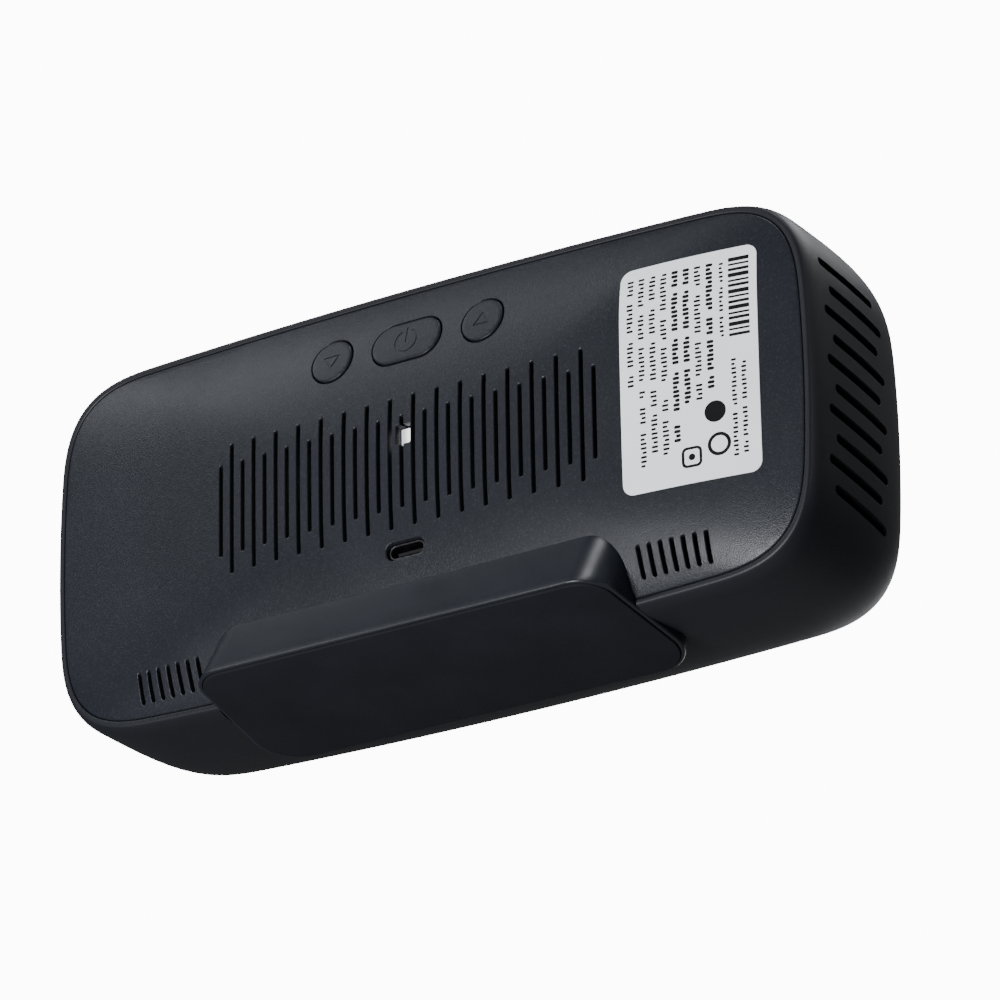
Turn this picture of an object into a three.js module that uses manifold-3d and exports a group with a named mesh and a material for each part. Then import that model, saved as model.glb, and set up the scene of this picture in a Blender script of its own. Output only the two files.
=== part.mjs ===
// A desk-top air quality monitor: a pillow-shaped case that leans back on a wedge foot.
// Millimetres. The case is modelled upright and then leant back, so that the sole lies flat.
// Case axes: +X right as seen from the display, +Y towards the rear cover, +Z up the display.
// The parting plane between front shell and rear cover is y = 0, and depths count towards -Y.
import * as THREE from "three";
import { mergeVertices } from "three/addons/utils/BufferGeometryUtils.js";
import Module from "manifold-3d";

const wasm = await Module();
wasm.setup();

// ---------- case ----------
const rimHalfWidth = 94.05; // corner to corner, before the sides bow out
const rimHalfHeight = 41.07;
const bowWidth = 2.4; // how far each end bows out past its corners
const bowHeight = 2.2; // how far the top and bottom bow out
const cornerRadius = 25.7;
const cornerPower = 3.4; // superelliptic corner, 2 would be a circle
const shellDepth = 46; // parting plane to front face
const flare = 1.1; // the case is this much larger a little in front of the parting plane
const flareDepth = 7.3;
const frontRound = 11.3; // how far the front edge is rounded in
const frontPower = 3.16;
const frontDrop = 1.6; // the front face sits this much lower than the rear
const shellWall = 2.4;
const rimWall = 1.1; // the thin lip that shows round the rear cover
const frontWall = 4.4;
const gap = 0.3; // between neighbouring pieces

// ---------- rear cover ----------
const crownHeight = 7.5; // bulge of the cover over the parting plane
const crownPower = 2.8;
const coverWall = 1.9;
const coverSkirt = 4.7; // how deep its edge reaches into the shell
const skirtWall = 1.6;
const grille = { count: 33, pitch: 3.0, width: 1.0, short: 21.3, long: 30.2 };
const grilleWindow = { x: -0.45, z: 6.2, width: 3.7, height: 4.7 };
const vents = { count: 7, pitch: 2.68, width: 1.0, length: 6.8, fromEnd: 29.85, fromBottom: 6.47 };
const ventX = rimHalfWidth - vents.fromEnd;
const ventZ = vents.fromBottom - rimHalfHeight;
const label = { fromEnd: 24.07, z: 5.1, width: 31.4, height: 51.6, radius: 2.5, thickness: 0.25 };
const labelX = label.fromEnd - rimHalfWidth;
const labelRecess = 0.45;
const sideSlots = { count: 10, z: 27.84, pitch: 5.61, start: 6.24, length: 22.8, height: 2.0 };
const sideSlotStagger = 2.7; // every second slot starts this much deeper
const sideSlotFall = 0.11; // drop per millimetre of depth

// ---------- buttons ----------
const buttonsFromTop = 12.31;
const buttonZ = rimHalfHeight - buttonsFromTop;
const buttonSpacing = 19.47;
const roundButtonRadius = 5.15;
const powerButton = { width: 17.6, height: 9.9 };
const buttonClearance = 0.3;
const buttonProud = 0.35; // how far a cap stands over the cover
const buttonFlange = { reach: 1.1, thickness: 1.0 };
const buttonStemRadius = 1.6;
const buttonTravel = 0.35;
const switchBody = { side: 6.0, height: 3.4, pocketRadius: 1.9, pocketDepth: 1.2 };
const plunger = { radius: 1.5, length: 1.6 };
const keyBoard = { bossRoom: 1.48, endMargin: 2.8, height: 12, thickness: 1.2 };

// ---------- foot ----------
const lean = THREE.MathUtils.degToRad(12); // the display leans back by this much
const soleRearY = 12.9; // rear edge of the pad, in case axes
const soleRise = 2.57; // from the lowest point of the rim up to the rear edge of the pad
const soleRearZ = soleRise - rimHalfHeight - bowHeight;
const pad = { depth: 37.1, rearHalf: 51.5, frontHalf: 53.2, rearRadius: 7.1, frontRadius: 8.8 };
const padThickness = 1.2;
const padProud = 0.4; // the pad stands this much below the foot's own edge
const soleBorder = 1.1; // foot plastic round the pad
const footPlate = 1.2; // plastic over the pad
const footSlope = 0.38; // forward slope of the rear wall per millimetre of height
const footHeight = 20;
const footWall = 2.2;
const footBoss = { x: 30, rise: 7.27, radius: 3.6 };
const footBossZ = footBoss.rise - rimHalfHeight - bowHeight;

// ---------- socket ----------
const socket = { z: -19.9, openWidth: 9.7, openHeight: 3.75, recess: 1.0 };
const socketShell = { width: 8.94, height: 3.26, length: 7.35, wall: 0.3 };
const socketTongue = { width: 6.6, thickness: 0.7, length: 5.2, base: 1.5 };
const chargeBoard = { width: 22, depth: 15, thickness: 1.0 };

// ---------- front and inside ----------
const lens = { inset: 12.5, thickness: 1.8, ledge: 3.0, recess: 0.1 };
const gasket = { width: 2.0, thickness: 0.5 };
const display = { endRoom: 4.55, edgeRoom: 1.07, thickness: 3.2 }; // room inside the lens opening
const displayBoard = { endReach: 4, edgeReach: 2.5, thickness: 1.0 }; // reach past the display
const mainBoard = { endRoom: 14.05, edgeRoom: 3.07, thickness: 1.6 }; // room inside the rim
const post = { endInset: 7, edgeInset: 5, radius: 3.2 }; // in from the main board's edges
const screw = { radius: 1.25, headRadius: 2.4, headHeight: 1.8, bite: 6, clearance: 0.25 };
const sensorBoard = { x: 11, z: 0.5, width: 76, height: 33, thickness: 1.2, bossInset: 2.8 };
const sensorRoom = 0.6; // from the tallest sensor to the cover
const battery = { x: 18, width: 62, height: 46, thickness: 8 };
const cradle = { wall: 2, height: 6 };
const particle = { z: 3, width: 50, height: 38, thickness: 16, room: 1.9 };
const duct = { fromLeft: 34, rise: 6, width: 8, front: 5, rear: 3 }; // air way in the particle sensor
const rotor = { offset: 8, radius: 8.6, hub: 3.4, height: 5, blades: 7, clearance: 0.7 };
const formaldehyde = { x: 36, z: 0, radius: 8.5, height: 8 };
const carbonDioxide = { x: 3.4, z: 2.6, width: 15.5, height: 19.8, thickness: 10 };
const filter = { offsetX: 1.4, offsetZ: 0.9, width: 2.6, height: 3.5, thickness: 0.9 }; // from the window
const volatileSensor = { x: -17, z: -2, width: 11, height: 11, thickness: 3.6 };
const humidity = { x: 20.5, z: 9, width: 5, height: 5, thickness: 2.4 };
const buzzer = { x: 60, z: -22, radius: 6, height: 6.5, port: 1.2, portDepth: 2 };
const processor = { x: 20, z: 24, side: 12, thickness: 1.4 };

// ---------- helpers ----------
const segments = { corner: 8, longSide: 4, shortSide: 2, round: 20, small: 12 };

function material(color, roughness, metalness = 0) {
  return new THREE.MeshStandardMaterial({ color, roughness, metalness });
}
const finish = {
  shell: material(0x1b1d22, 0.62),
  cover: material(0x3e4149, 0.55),
  button: material(0x3a3d44, 0.5),
  foot: material(0x30323a, 0.42),
  rubber: material(0x1a1b1f, 0.9),
  label: material(0xd8dade, 0.6),
  lens: material(0x08090b, 0.06),
  steel: material(0xb4b8bd, 0.35, 0.9),
  board: material(0x14532b, 0.5),
  black: material(0x141417, 0.5),
  white: material(0xf4f4f2, 0.45),
  gold: material(0xb08d3c, 0.4, 0.8),
  cell: material(0x8d939c, 0.4, 0.6),
  blue: material(0x2c3a4c, 0.5),
};

// A closed solid from a geometry. Its faces are turned round if they point inwards.
function solidOf(geometry) {
  const bare = new THREE.BufferGeometry();
  bare.setAttribute("position", geometry.getAttribute("position"));
  if (geometry.index) bare.setIndex(geometry.index);
  const merged = mergeVertices(bare, 1e-4);
  const position = merged.getAttribute("position");
  const index = Uint32Array.from(merged.index.array);
  const [a, b, c] = [new THREE.Vector3(), new THREE.Vector3(), new THREE.Vector3()];
  let volume = 0;
  for (let i = 0; i < index.length; i += 3) {
    a.fromBufferAttribute(position, index[i]);
    b.fromBufferAttribute(position, index[i + 1]);
    c.fromBufferAttribute(position, index[i + 2]);
    volume += a.dot(b.cross(c));
  }
  if (volume < 0)
    for (let i = 0; i < index.length; i += 3)
      [index[i + 1], index[i + 2]] = [index[i + 2], index[i + 1]];
  return new wasm.Manifold(
    new wasm.Mesh({ numProp: 3, vertProperties: position.array, triVerts: index }),
  );
}

function geometryOf(solid) {
  const mesh = solid.getMesh();
  const geometry = new THREE.BufferGeometry();
  geometry.setAttribute("position", new THREE.BufferAttribute(mesh.vertProperties, 3));
  geometry.setIndex(new THREE.BufferAttribute(mesh.triVerts, 1));
  geometry.computeVertexNormals();
  return geometry;
}

const cut = (solid, ...tools) => tools.reduce((left, tool) => left.subtract(tool), solid);
const join = (solid, ...others) => others.reduce((sum, other) => sum.add(other), solid);

// A closed skin over rings of points that all have the same count, closed flat at both ends.
function loft(rings) {
  const points = [];
  const faces = [];
  const start = rings.map((ring) => {
    const first = points.length;
    points.push(...ring);
    return first;
  });
  const count = rings[0].length;
  for (let r = 0; r + 1 < rings.length; r++) {
    const [p, q] = [start[r], start[r + 1]];
    for (let i = 0; i < count; i++) {
      const j = (i + 1) % count;
      faces.push(p + i, p + j, q + j, p + i, q + j, q + i);
    }
  }
  for (const [r, turn] of [[0, true], [rings.length - 1, false]]) {
    const middle = rings[r].reduce((sum, p) => sum.add(p), new THREE.Vector3());
    points.push(middle.divideScalar(count));
    for (let i = 0; i < count; i++) {
      const j = (i + 1) % count;
      const fan = [start[r] + i, start[r] + j, points.length - 1];
      faces.push(...(turn ? fan.reverse() : fan));
    }
  }
  const geometry = new THREE.BufferGeometry().setFromPoints(points);
  geometry.setIndex(faces);
  return solidOf(geometry);
}

// The case's outline in the parting plane, grown outwards by reach.
function outline(reach) {
  const a = rimHalfWidth + reach;
  const b = rimHalfHeight + reach;
  const r = Math.max(cornerRadius + reach, 2);
  const quarter = [];
  for (let i = 0; i < segments.shortSide; i++)
    quarter.push([a, ((b - r) * i) / segments.shortSide]);
  for (let i = 0; i <= segments.corner; i++) {
    const t = (i / segments.corner) * (Math.PI / 2);
    const c = Math.pow(Math.cos(t), 2 / cornerPower);
    const s = Math.pow(Math.sin(t), 2 / cornerPower);
    quarter.push([a - r + r * (i === segments.corner ? 0 : c), b - r + r * s]);
  }
  for (let i = 1; i < segments.longSide; i++)
    quarter.push([(a - r) * (1 - i / segments.longSide), b]);
  const half = [...quarter, [0, b], ...quarter.slice(1).reverse().map(([x, z]) => [-x, z])];
  const whole = [...half, [-a, 0], ...half.slice(1).reverse().map(([x, z]) => [x, -z])];
  return whole.map(([x, z]) => [
    x * (1 + (bowWidth / a) * (1 - (z / b) ** 2)),
    z * (1 + (bowHeight / b) * (1 - (x / a) ** 2)),
  ]);
}

const ringAt = (points, y, scale = 1, drop = 0) =>
  points.map(([x, z]) => new THREE.Vector3(x * scale, y, z * scale - drop));

// How far the case stands out past its parting outline at a depth in front of it.
function swell(depth) {
  if (depth <= flareDepth) return flare * (1 - (1 - depth / flareDepth) ** 3.5);
  const t = Math.min((depth - flareDepth) / (shellDepth - flareDepth), 1);
  return flare - frontRound * (1 - (1 - t ** frontPower) ** (1 / frontPower));
}
const dropAt = (depth) => (frontDrop * Math.max(depth, 0)) / shellDepth;
const shellRing = (depth, reach) => ringAt(outline(reach), -depth, 1, dropAt(depth));

// A shape in X and Z, extruded along Y.
function prismY(shape, y0, y1, curveSegments = segments.small) {
  const geometry = new THREE.ExtrudeGeometry(shape, {
    depth: y1 - y0,
    bevelEnabled: false,
    curveSegments,
  });
  geometry.rotateX(Math.PI / 2);
  geometry.translate(0, y1, 0);
  return solidOf(geometry);
}

// A shape in Y and Z, extruded along X.
function prismX(shape, x0, x1, curveSegments = segments.small) {
  const geometry = new THREE.ExtrudeGeometry(shape, {
    depth: x1 - x0,
    bevelEnabled: false,
    curveSegments,
  });
  const axes = [new THREE.Vector3(0, 1, 0), new THREE.Vector3(0, 0, 1), new THREE.Vector3(1, 0, 0)];
  geometry.applyMatrix4(new THREE.Matrix4().makeBasis(...axes));
  geometry.translate(x0, 0, 0);
  return solidOf(geometry);
}

// A box from its lowest to its highest corner.
function block(x0, x1, y0, y1, z0, z1) {
  const geometry = new THREE.BoxGeometry(x1 - x0, y1 - y0, z1 - z0);
  geometry.translate((x0 + x1) / 2, (y0 + y1) / 2, (z0 + z1) / 2);
  return solidOf(geometry);
}

// A round rod along Y.
function rod(x, z, radius, y0, y1, sides = segments.round) {
  const geometry = new THREE.CylinderGeometry(radius, radius, y1 - y0, sides);
  geometry.translate(x, (y0 + y1) / 2, z);
  return solidOf(geometry);
}

// A rectangle with round corners, centred on a point.
function roundRectangle(x, z, width, height, radius) {
  const [l, r, b, t] = [x - width / 2, x + width / 2, z - height / 2, z + height / 2];
  const shape = new THREE.Shape();
  shape.moveTo(l + radius, b);
  shape.lineTo(r - radius, b);
  shape.absarc(r - radius, b + radius, radius, -Math.PI / 2, 0);
  shape.lineTo(r, t - radius);
  shape.absarc(r - radius, t - radius, radius, 0, Math.PI / 2);
  shape.lineTo(l + radius, t);
  shape.absarc(l + radius, t - radius, radius, Math.PI / 2, Math.PI);
  shape.lineTo(l, b + radius);
  shape.absarc(l + radius, b + radius, radius, Math.PI, 1.5 * Math.PI);
  return shape;
}

// A slot with round ends between two points.
function slot(from, to, width) {
  const turn = Math.atan2(to[1] - from[1], to[0] - from[0]);
  const r = width / 2;
  const inset = [Math.cos(turn) * r, Math.sin(turn) * r];
  const [ax, ay] = [from[0] + inset[0], from[1] + inset[1]];
  const [bx, by] = [to[0] - inset[0], to[1] - inset[1]];
  const shape = new THREE.Shape();
  shape.absarc(bx, by, r, turn - Math.PI / 2, turn + Math.PI / 2);
  shape.absarc(ax, ay, r, turn + Math.PI / 2, turn + 1.5 * Math.PI);
  return shape;
}

function circle(x, z, radius) {
  return new THREE.Shape().absarc(x, z, radius, 0, 2 * Math.PI);
}

// ---------- the crowned surface ----------
const coverInset = rimWall + gap;

// The crown's height over the parting plane at a point, for a crown drawn in by inset.
function crownAt(x, z, inset = 0) {
  const edge = outline(-coverInset - inset);
  if (x === 0 && z === 0) return crownHeight;
  for (let i = 0; i < edge.length; i++) {
    const [ax, az] = edge[i];
    const [bx, bz] = edge[(i + 1) % edge.length];
    const across = (bx - ax) * z - (bz - az) * x;
    const along = (ax * z - az * x) / -across;
    const reach = ((bx - ax) * -az + (bz - az) * ax) / across;
    if (Math.abs(across) > 1e-9 && along >= -1e-9 && along <= 1 + 1e-9 && reach > 0)
      return crownHeight * (1 - (1 / reach) ** crownPower);
  }
  return 0;
}

// Rings of the crown, as shares of its outline. It is level inside the last one.
const crownScales = { fine: [0.96, 0.9, 0.8, 0.66, 0.48, 0.3], coarse: [0.93, 0.85, 0.72, 0.52] };
const crownRings = (edge, lift, scales) =>
  scales.map((s) => ringAt(edge, crownHeight * (1 - s ** crownPower) + lift, s));

// Everything under the crown, moved along Y by lift and drawn in by inset.
function underCrown(lift, inset, floor, scales = crownScales.fine) {
  const edge = outline(-coverInset - inset);
  return loft([ringAt(edge, floor), ringAt(edge, lift), ...crownRings(edge, lift, scales)]);
}

// ---------- the foot's own axes ----------
// forward runs along the sole to the front, and up stands square on it.
function footPoint(x, forward, up) {
  return new THREE.Vector3(
    x,
    soleRearY - forward * Math.cos(lean) - up * Math.sin(lean),
    soleRearZ - forward * Math.sin(lean) + up * Math.cos(lean),
  );
}

// The sole's outline, grown outwards, at a height over the ground.
function soleRing(reach, up, rearShift = 0) {
  const corners = [
    [pad.rearHalf + reach, rearShift - reach, pad.rearRadius],
    [pad.frontHalf + reach, pad.depth + reach, pad.frontRadius],
  ];
  const half = [];
  corners.forEach(([x, forward, radius], k) => {
    const r = radius + reach;
    for (let i = 0; i <= segments.corner; i++) {
      const t = ((i / segments.corner + k) * Math.PI) / 2;
      half.push([x - r + r * Math.sin(t), forward + (k ? -r : r) - r * Math.cos(t)]);
    }
  });
  const other = half.map(([x, forward]) => [-x, forward]).reverse();
  return [...half, ...other].map(([x, forward]) => footPoint(x, forward, up));
}

// ---------- scene graph ----------
const monitor = new THREE.Group();
monitor.name = "air_quality_monitor";
const device = new THREE.Group();
const middle = footPoint(0, pad.depth / 2, 0);
device.rotation.x = -lean;
device.position.copy(middle.clone().applyEuler(device.rotation).negate());
monitor.add(device);

function piece(name, solid, look) {
  const mesh = new THREE.Mesh(geometryOf(solid), look);
  mesh.name = name;
  device.add(mesh);
  return mesh;
}

// ---------- foot and pad ----------
const plateTop = padThickness + gap + footPlate;
const footPocket = loft([soleRing(soleBorder + gap, -8), soleRing(soleBorder + gap, plateTop + gap)]);

// ---------- front shell ----------
const outerDepths = [0, 1.5, 3.5, flareDepth, 18, 28, 34.5, 39, 42, 44, 45.3];
const outer = loft([
  ...outerDepths.map((depth) => shellRing(depth, swell(depth))),
  shellRing(shellDepth, swell(shellDepth)),
]);
const ledgeDepth = coverSkirt + gap;
const ledgeReach = -(coverInset + skirtWall);
const cavityDepth = shellDepth - frontWall;
const cavity = loft([
  shellRing(-1, -rimWall),
  ringAt(outline(-rimWall), -ledgeDepth),
  ringAt(outline(ledgeReach), -ledgeDepth),
  ringAt(outline(ledgeReach), -ledgeDepth - 1.5),
  ...[ledgeDepth + 3.5, 18, 28, 36, cavityDepth].map((depth) =>
    shellRing(depth, swell(depth) - shellWall),
  ),
]);
const lensFloor = shellDepth - lens.recess - lens.thickness - gasket.thickness - 2 * gap;
const lensZ = -frontDrop;
function lensPlate(reach, depth0, depth1) {
  const points = outline(reach - lens.inset);
  return loft([ringAt(points, -depth0, 1, -lensZ), ringAt(points, -depth1, 1, -lensZ)]);
}
let shell = cut(
  outer,
  cavity,
  lensPlate(gap, shellDepth + 1, lensFloor),
  lensPlate(-lens.ledge, shellDepth + 1, cavityDepth - 1),
  footPocket,
);
for (let i = 0; i < sideSlots.count; i++) {
  const start = sideSlots.start + (i % 2) * sideSlotStagger;
  const end = start + sideSlots.length;
  const z = sideSlots.z - i * sideSlots.pitch;
  const shape = slot(
    [-start, z - sideSlotFall * start],
    [-end, z - sideSlotFall * end],
    sideSlots.height,
  );
  const reach = rimHalfWidth + bowWidth + flare + 1;
  const depth = reach - 25;
  shell = cut(shell, prismX(shape, depth, reach, 3), prismX(shape, -reach, -depth, 3));
}
const boardHalfX = rimHalfWidth - mainBoard.endRoom;
const boardHalfZ = rimHalfHeight - mainBoard.edgeRoom;
const boardBack = -(particle.room + particle.thickness + gap);
const boardFront = boardBack - mainBoard.thickness;
const postX = boardHalfX - post.endInset;
const postZ = boardHalfZ - post.edgeInset;
const corners = [-1, 1].flatMap((sx) => [-1, 1].map((sz) => [sx, sz]));
for (const [sx, sz] of corners) {
  const [x, z] = [sx * postX, sz * postZ];
  const pillar = rod(x, z, post.radius, -cavityDepth - 1, boardFront - gap, segments.small);
  const hole = rod(x, z, screw.radius + screw.clearance, boardFront - screw.bite - 1, 0, 10);
  shell = cut(join(shell, pillar), hole);
}
piece("front_shell", shell, finish.shell);

// ---------- rear cover ----------
let cover = cut(
  underCrown(0, 0, -coverSkirt),
  underCrown(-coverWall, skirtWall, -coverSkirt - 1, crownScales.coarse),
);
const tall = crownHeight + 5;
for (let i = 0; i < grille.count; i++) {
  const x = (i - (grille.count - 1) / 2) * grille.pitch;
  const half = (i % 2 ? grille.long : grille.short) / 2;
  cover = cut(cover, prismY(slot([x, -half], [x, half], grille.width), -4, tall, 3));
}
for (const side of [-1, 1])
  for (let i = 0; i < vents.count; i++) {
    const x = side * ventX + (i - (vents.count - 1) / 2) * vents.pitch;
    const shape = slot(
      [x, ventZ - vents.length / 2],
      [x, ventZ + vents.length / 2],
      vents.width,
    );
    cover = cut(cover, prismY(shape, -4, tall, 3));
  }
const pane = grilleWindow;
const labelShape = (grow) =>
  roundRectangle(
    labelX,
    label.z,
    label.width + 2 * grow,
    label.height + 2 * grow,
    label.radius + grow,
  );
cover = cut(
  cover,
  prismY(roundRectangle(pane.x, pane.z, pane.width, pane.height, 0.4), -4, tall, 2),
  prismY(
    slot([-socket.openWidth / 2, socket.z], [socket.openWidth / 2, socket.z], socket.openHeight),
    -4,
    tall,
    6,
  ),
  prismY(labelShape(gap), -4, tall, 4).subtract(underCrown(-labelRecess, 0, -coverSkirt)),
);

// The three buttons, each with its own switch on the key board.
const powerShape = (grow) =>
  slot(
    [-powerButton.width / 2 - grow, buttonZ],
    [powerButton.width / 2 + grow, buttonZ],
    powerButton.height + 2 * grow,
  );
const roundShape = (x) => (grow) => circle(x, buttonZ, roundButtonRadius + grow);
const buttons = [
  { name: "left", x: buttonSpacing, shape: roundShape(buttonSpacing) },
  { name: "power", x: 0, shape: powerShape },
  { name: "right", x: -buttonSpacing, shape: roundShape(-buttonSpacing) },
];
for (const { shape } of buttons)
  cover = cut(cover, prismY(shape(buttonClearance), -4, tall, segments.small));

// Bosses under the cover carry the key board and the sensor board.
const flangeReach = Math.max(roundButtonRadius, powerButton.height / 2) + buttonFlange.reach;
const underCap = crownAt(buttonSpacing + flangeReach, buttonZ + flangeReach, skirtWall) - coverWall;
const flangeTop = underCap - gap;
const flangeBottom = flangeTop - buttonFlange.thickness;
const stemEnd = flangeBottom - 1.2;
const plungerTop = stemEnd - gap;
const plungerBottom = plungerTop - plunger.length;
const switchTop = plungerTop - 1.1;
const keyTop = switchTop - switchBody.height - gap;
const keyBottom = keyTop - keyBoard.thickness;
const tallest = carbonDioxide.thickness + gap + filter.thickness;
const underCover = crownHeight * (1 - crownScales.coarse.at(-1) ** crownPower) - coverWall;
const sensorTop = underCover - sensorRoom - tallest - gap;
const sensorBottom = sensorTop - sensorBoard.thickness;
const bossRadius = 2.5;
const keyBossX = buttonSpacing + flangeReach + keyBoard.bossRoom + bossRadius;
const boardBossX = sensorBoard.width / 2 - sensorBoard.bossInset;
const boardBossZ = sensorBoard.z - sensorBoard.height / 2 + sensorBoard.bossInset;
const bosses = [
  { name: "key_board_1", x: -keyBossX, z: buttonZ, top: keyTop, bottom: keyBottom },
  { name: "key_board_2", x: keyBossX, z: buttonZ, top: keyTop, bottom: keyBottom },
  ...[-1, 1].map((side, i) => ({
    name: "sensor_board_" + (i + 1),
    x: sensorBoard.x + side * boardBossX,
    z: boardBossZ,
    top: sensorTop,
    bottom: sensorBottom,
  })),
];
const coverBody = underCrown(-coverWall / 2, skirtWall / 2, -30);
for (const boss of bosses) {
  const pillar = rod(boss.x, boss.z, bossRadius, boss.top + gap, tall, segments.small);
  const pilot = rod(
    boss.x,
    boss.z,
    screw.radius + screw.clearance,
    boss.bottom,
    boss.top + screw.bite + 0.5,
    10,
  );
  cover = cut(join(cover, pillar.intersect(coverBody)), pilot);
}
const footScrewSeat =
  crownAt(footBoss.x, footBossZ - screw.headRadius, skirtWall) - coverWall - gap;
const footScrewLength = 9;
const footHole = (side, y0, y1) =>
  rod(side * footBoss.x, footBossZ, screw.radius + screw.clearance, y0, y1, 10);
cover = cut(cover, footHole(-1, -3, tall), footHole(1, -3, tall));
cover = cut(cover, footPocket);
piece("rear_cover", cover, finish.cover);

for (const { name, x, shape } of buttons) {
  const cap = prismY(shape(0), flangeBottom + 0.3, tall).intersect(underCrown(buttonProud, 0, -20));
  const flange = prismY(shape(buttonFlange.reach), flangeBottom, flangeTop);
  const stem = rod(x, buttonZ, buttonStemRadius, stemEnd, flangeBottom + 0.5, segments.small);
  piece("button_" + name, join(cap, flange, stem), finish.button);

  const half = switchBody.side / 2;
  const body = block(x - half, x + half, keyTop + gap, switchTop, buttonZ - half, buttonZ + half);
  const pocket = rod(x, buttonZ, switchBody.pocketRadius, switchTop - switchBody.pocketDepth, 0, 12);
  piece("switch_" + name, cut(body, pocket), finish.steel);
  piece(
    "switch_plunger_" + name,
    rod(x, buttonZ, plunger.radius, plungerBottom, plungerTop, segments.small),
    finish.black,
  );
}

const boardHole = ({ x, z, top, bottom }) =>
  rod(x, z, screw.radius + screw.clearance, bottom - 1, top + 1, 10);
const keyHalf = keyBossX + keyBoard.endMargin;
const keyReach = keyBoard.height / 2;
piece(
  "key_board",
  cut(
    block(-keyHalf, keyHalf, keyBottom, keyTop, buttonZ - keyReach, buttonZ + keyReach),
    ...bosses.slice(0, 2).map(boardHole),
  ),
  finish.board,
);
piece(
  "sensor_board",
  cut(
    block(
      sensorBoard.x - sensorBoard.width / 2,
      sensorBoard.x + sensorBoard.width / 2,
      sensorBottom,
      sensorTop,
      sensorBoard.z - sensorBoard.height / 2,
      sensorBoard.z + sensorBoard.height / 2,
    ),
    ...bosses.slice(2).map(boardHole),
  ),
  finish.board,
);

// A pan-head screw along Y. Its head lies at seat, on the side that turn points away from.
function screwAt(name, x, z, seat, turn, length) {
  const shank = turn > 0 ? [seat - 0.2, seat + length] : [seat - length, seat + 0.2];
  const head = turn > 0 ? [seat - screw.headHeight, seat] : [seat, seat + screw.headHeight];
  piece(
    name,
    join(
      rod(x, z, screw.radius, ...shank, 10),
      rod(x, z, screw.headRadius, ...head, 14),
    ),
    finish.steel,
  );
}
for (const { name, x, z, bottom } of bosses)
  screwAt("screw_" + name, x, z, bottom - gap, 1, screw.bite);
corners.forEach(([sx, sz], i) =>
  screwAt("screw_main_board_" + (i + 1), sx * postX, sz * postZ, boardBack + gap, -1, screw.bite),
);

// ---------- label ----------
const labelLift = label.thickness / 2;
piece(
  "rating_label",
  prismY(labelShape(0), -4, tall, 4)
    .intersect(underCrown(labelLift, 0, -20))
    .subtract(underCrown(labelLift - label.thickness, 0, -20)),
  finish.label,
);

// ---------- foot ----------
const bodyAround = join(
  loft([shellRing(0, gap), ...outerDepths.slice(1).map((d) => shellRing(d, swell(d) + gap))]),
  loft([
    ringAt(outline(gap), -0.5),
    ringAt(outline(gap), gap),
    ...crownRings(outline(gap), gap, crownScales.fine),
  ]),
);
const wedge = loft([
  soleRing(soleBorder, padProud),
  soleRing(soleBorder, plateTop, footSlope * plateTop),
  soleRing(soleBorder, footHeight, footSlope * footHeight),
]);
const wedgeHollow = loft([
  soleRing(soleBorder - footWall, plateTop, footSlope * plateTop),
  soleRing(soleBorder - footWall, footHeight + 1, footSlope * (footHeight + 1)),
]);
const plate = loft([
  soleRing(soleBorder, padProud),
  soleRing(soleBorder, plateTop, footSlope * plateTop),
]);
const bossRods = [-1, 1].map((side) =>
  rod(side * footBoss.x, footBossZ, footBoss.radius, -20, soleRearY, 14).intersect(wedge),
);
let foot = join(wedge.subtract(wedgeHollow), ...bossRods).subtract(bodyAround);
foot = join(foot, plate);
foot = cut(
  foot,
  loft([soleRing(gap, -1), soleRing(gap, padThickness + gap)]),
  ...[-1, 1].map((side) => footHole(side, -20, footScrewSeat + footScrewLength + 0.5)),
);
piece("foot", foot, finish.foot);
piece("foot_pad", loft([soleRing(0, 0), soleRing(0, padThickness)]), finish.rubber);
[-1, 1].forEach((side, i) =>
  screwAt(
    "screw_foot_" + (i + 1),
    side * footBoss.x,
    footBossZ,
    footScrewSeat,
    1,
    footScrewLength,
  ),
);

// ---------- socket ----------
const socketMouth = crownAt(0, socket.z) - socket.recess;
const socketBack = socketMouth - socketShell.length;
const tube = (shrink, y0, y1) =>
  prismY(
    slot(
      [-socketShell.width / 2 + shrink, socket.z],
      [socketShell.width / 2 - shrink, socket.z],
      socketShell.height - 2 * shrink,
    ),
    y0,
    y1,
    6,
  );
piece(
  "socket_shell",
  cut(tube(0, socketBack, socketMouth), tube(socketShell.wall, socketBack - 1, socketMouth + 1)),
  finish.steel,
);
const tongueHalf = socketTongue.width / 2;
piece(
  "socket_tongue",
  join(
    tube(socketShell.wall + 0.25, socketBack, socketBack + socketTongue.base),
    block(
      -tongueHalf,
      tongueHalf,
      socketBack + socketTongue.base - 0.2,
      socketBack + socketTongue.length + 0.6,
      socket.z - socketTongue.thickness / 2,
      socket.z + socketTongue.thickness / 2,
    ),
  ),
  finish.black,
);
const chargeTop = socket.z - socketShell.height / 2 - gap;
piece(
  "charge_board",
  block(
    -chargeBoard.width / 2,
    chargeBoard.width / 2,
    socketBack - chargeBoard.depth + 7,
    socketBack + 4.6,
    chargeTop - chargeBoard.thickness,
    chargeTop,
  ),
  finish.board,
);

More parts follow.
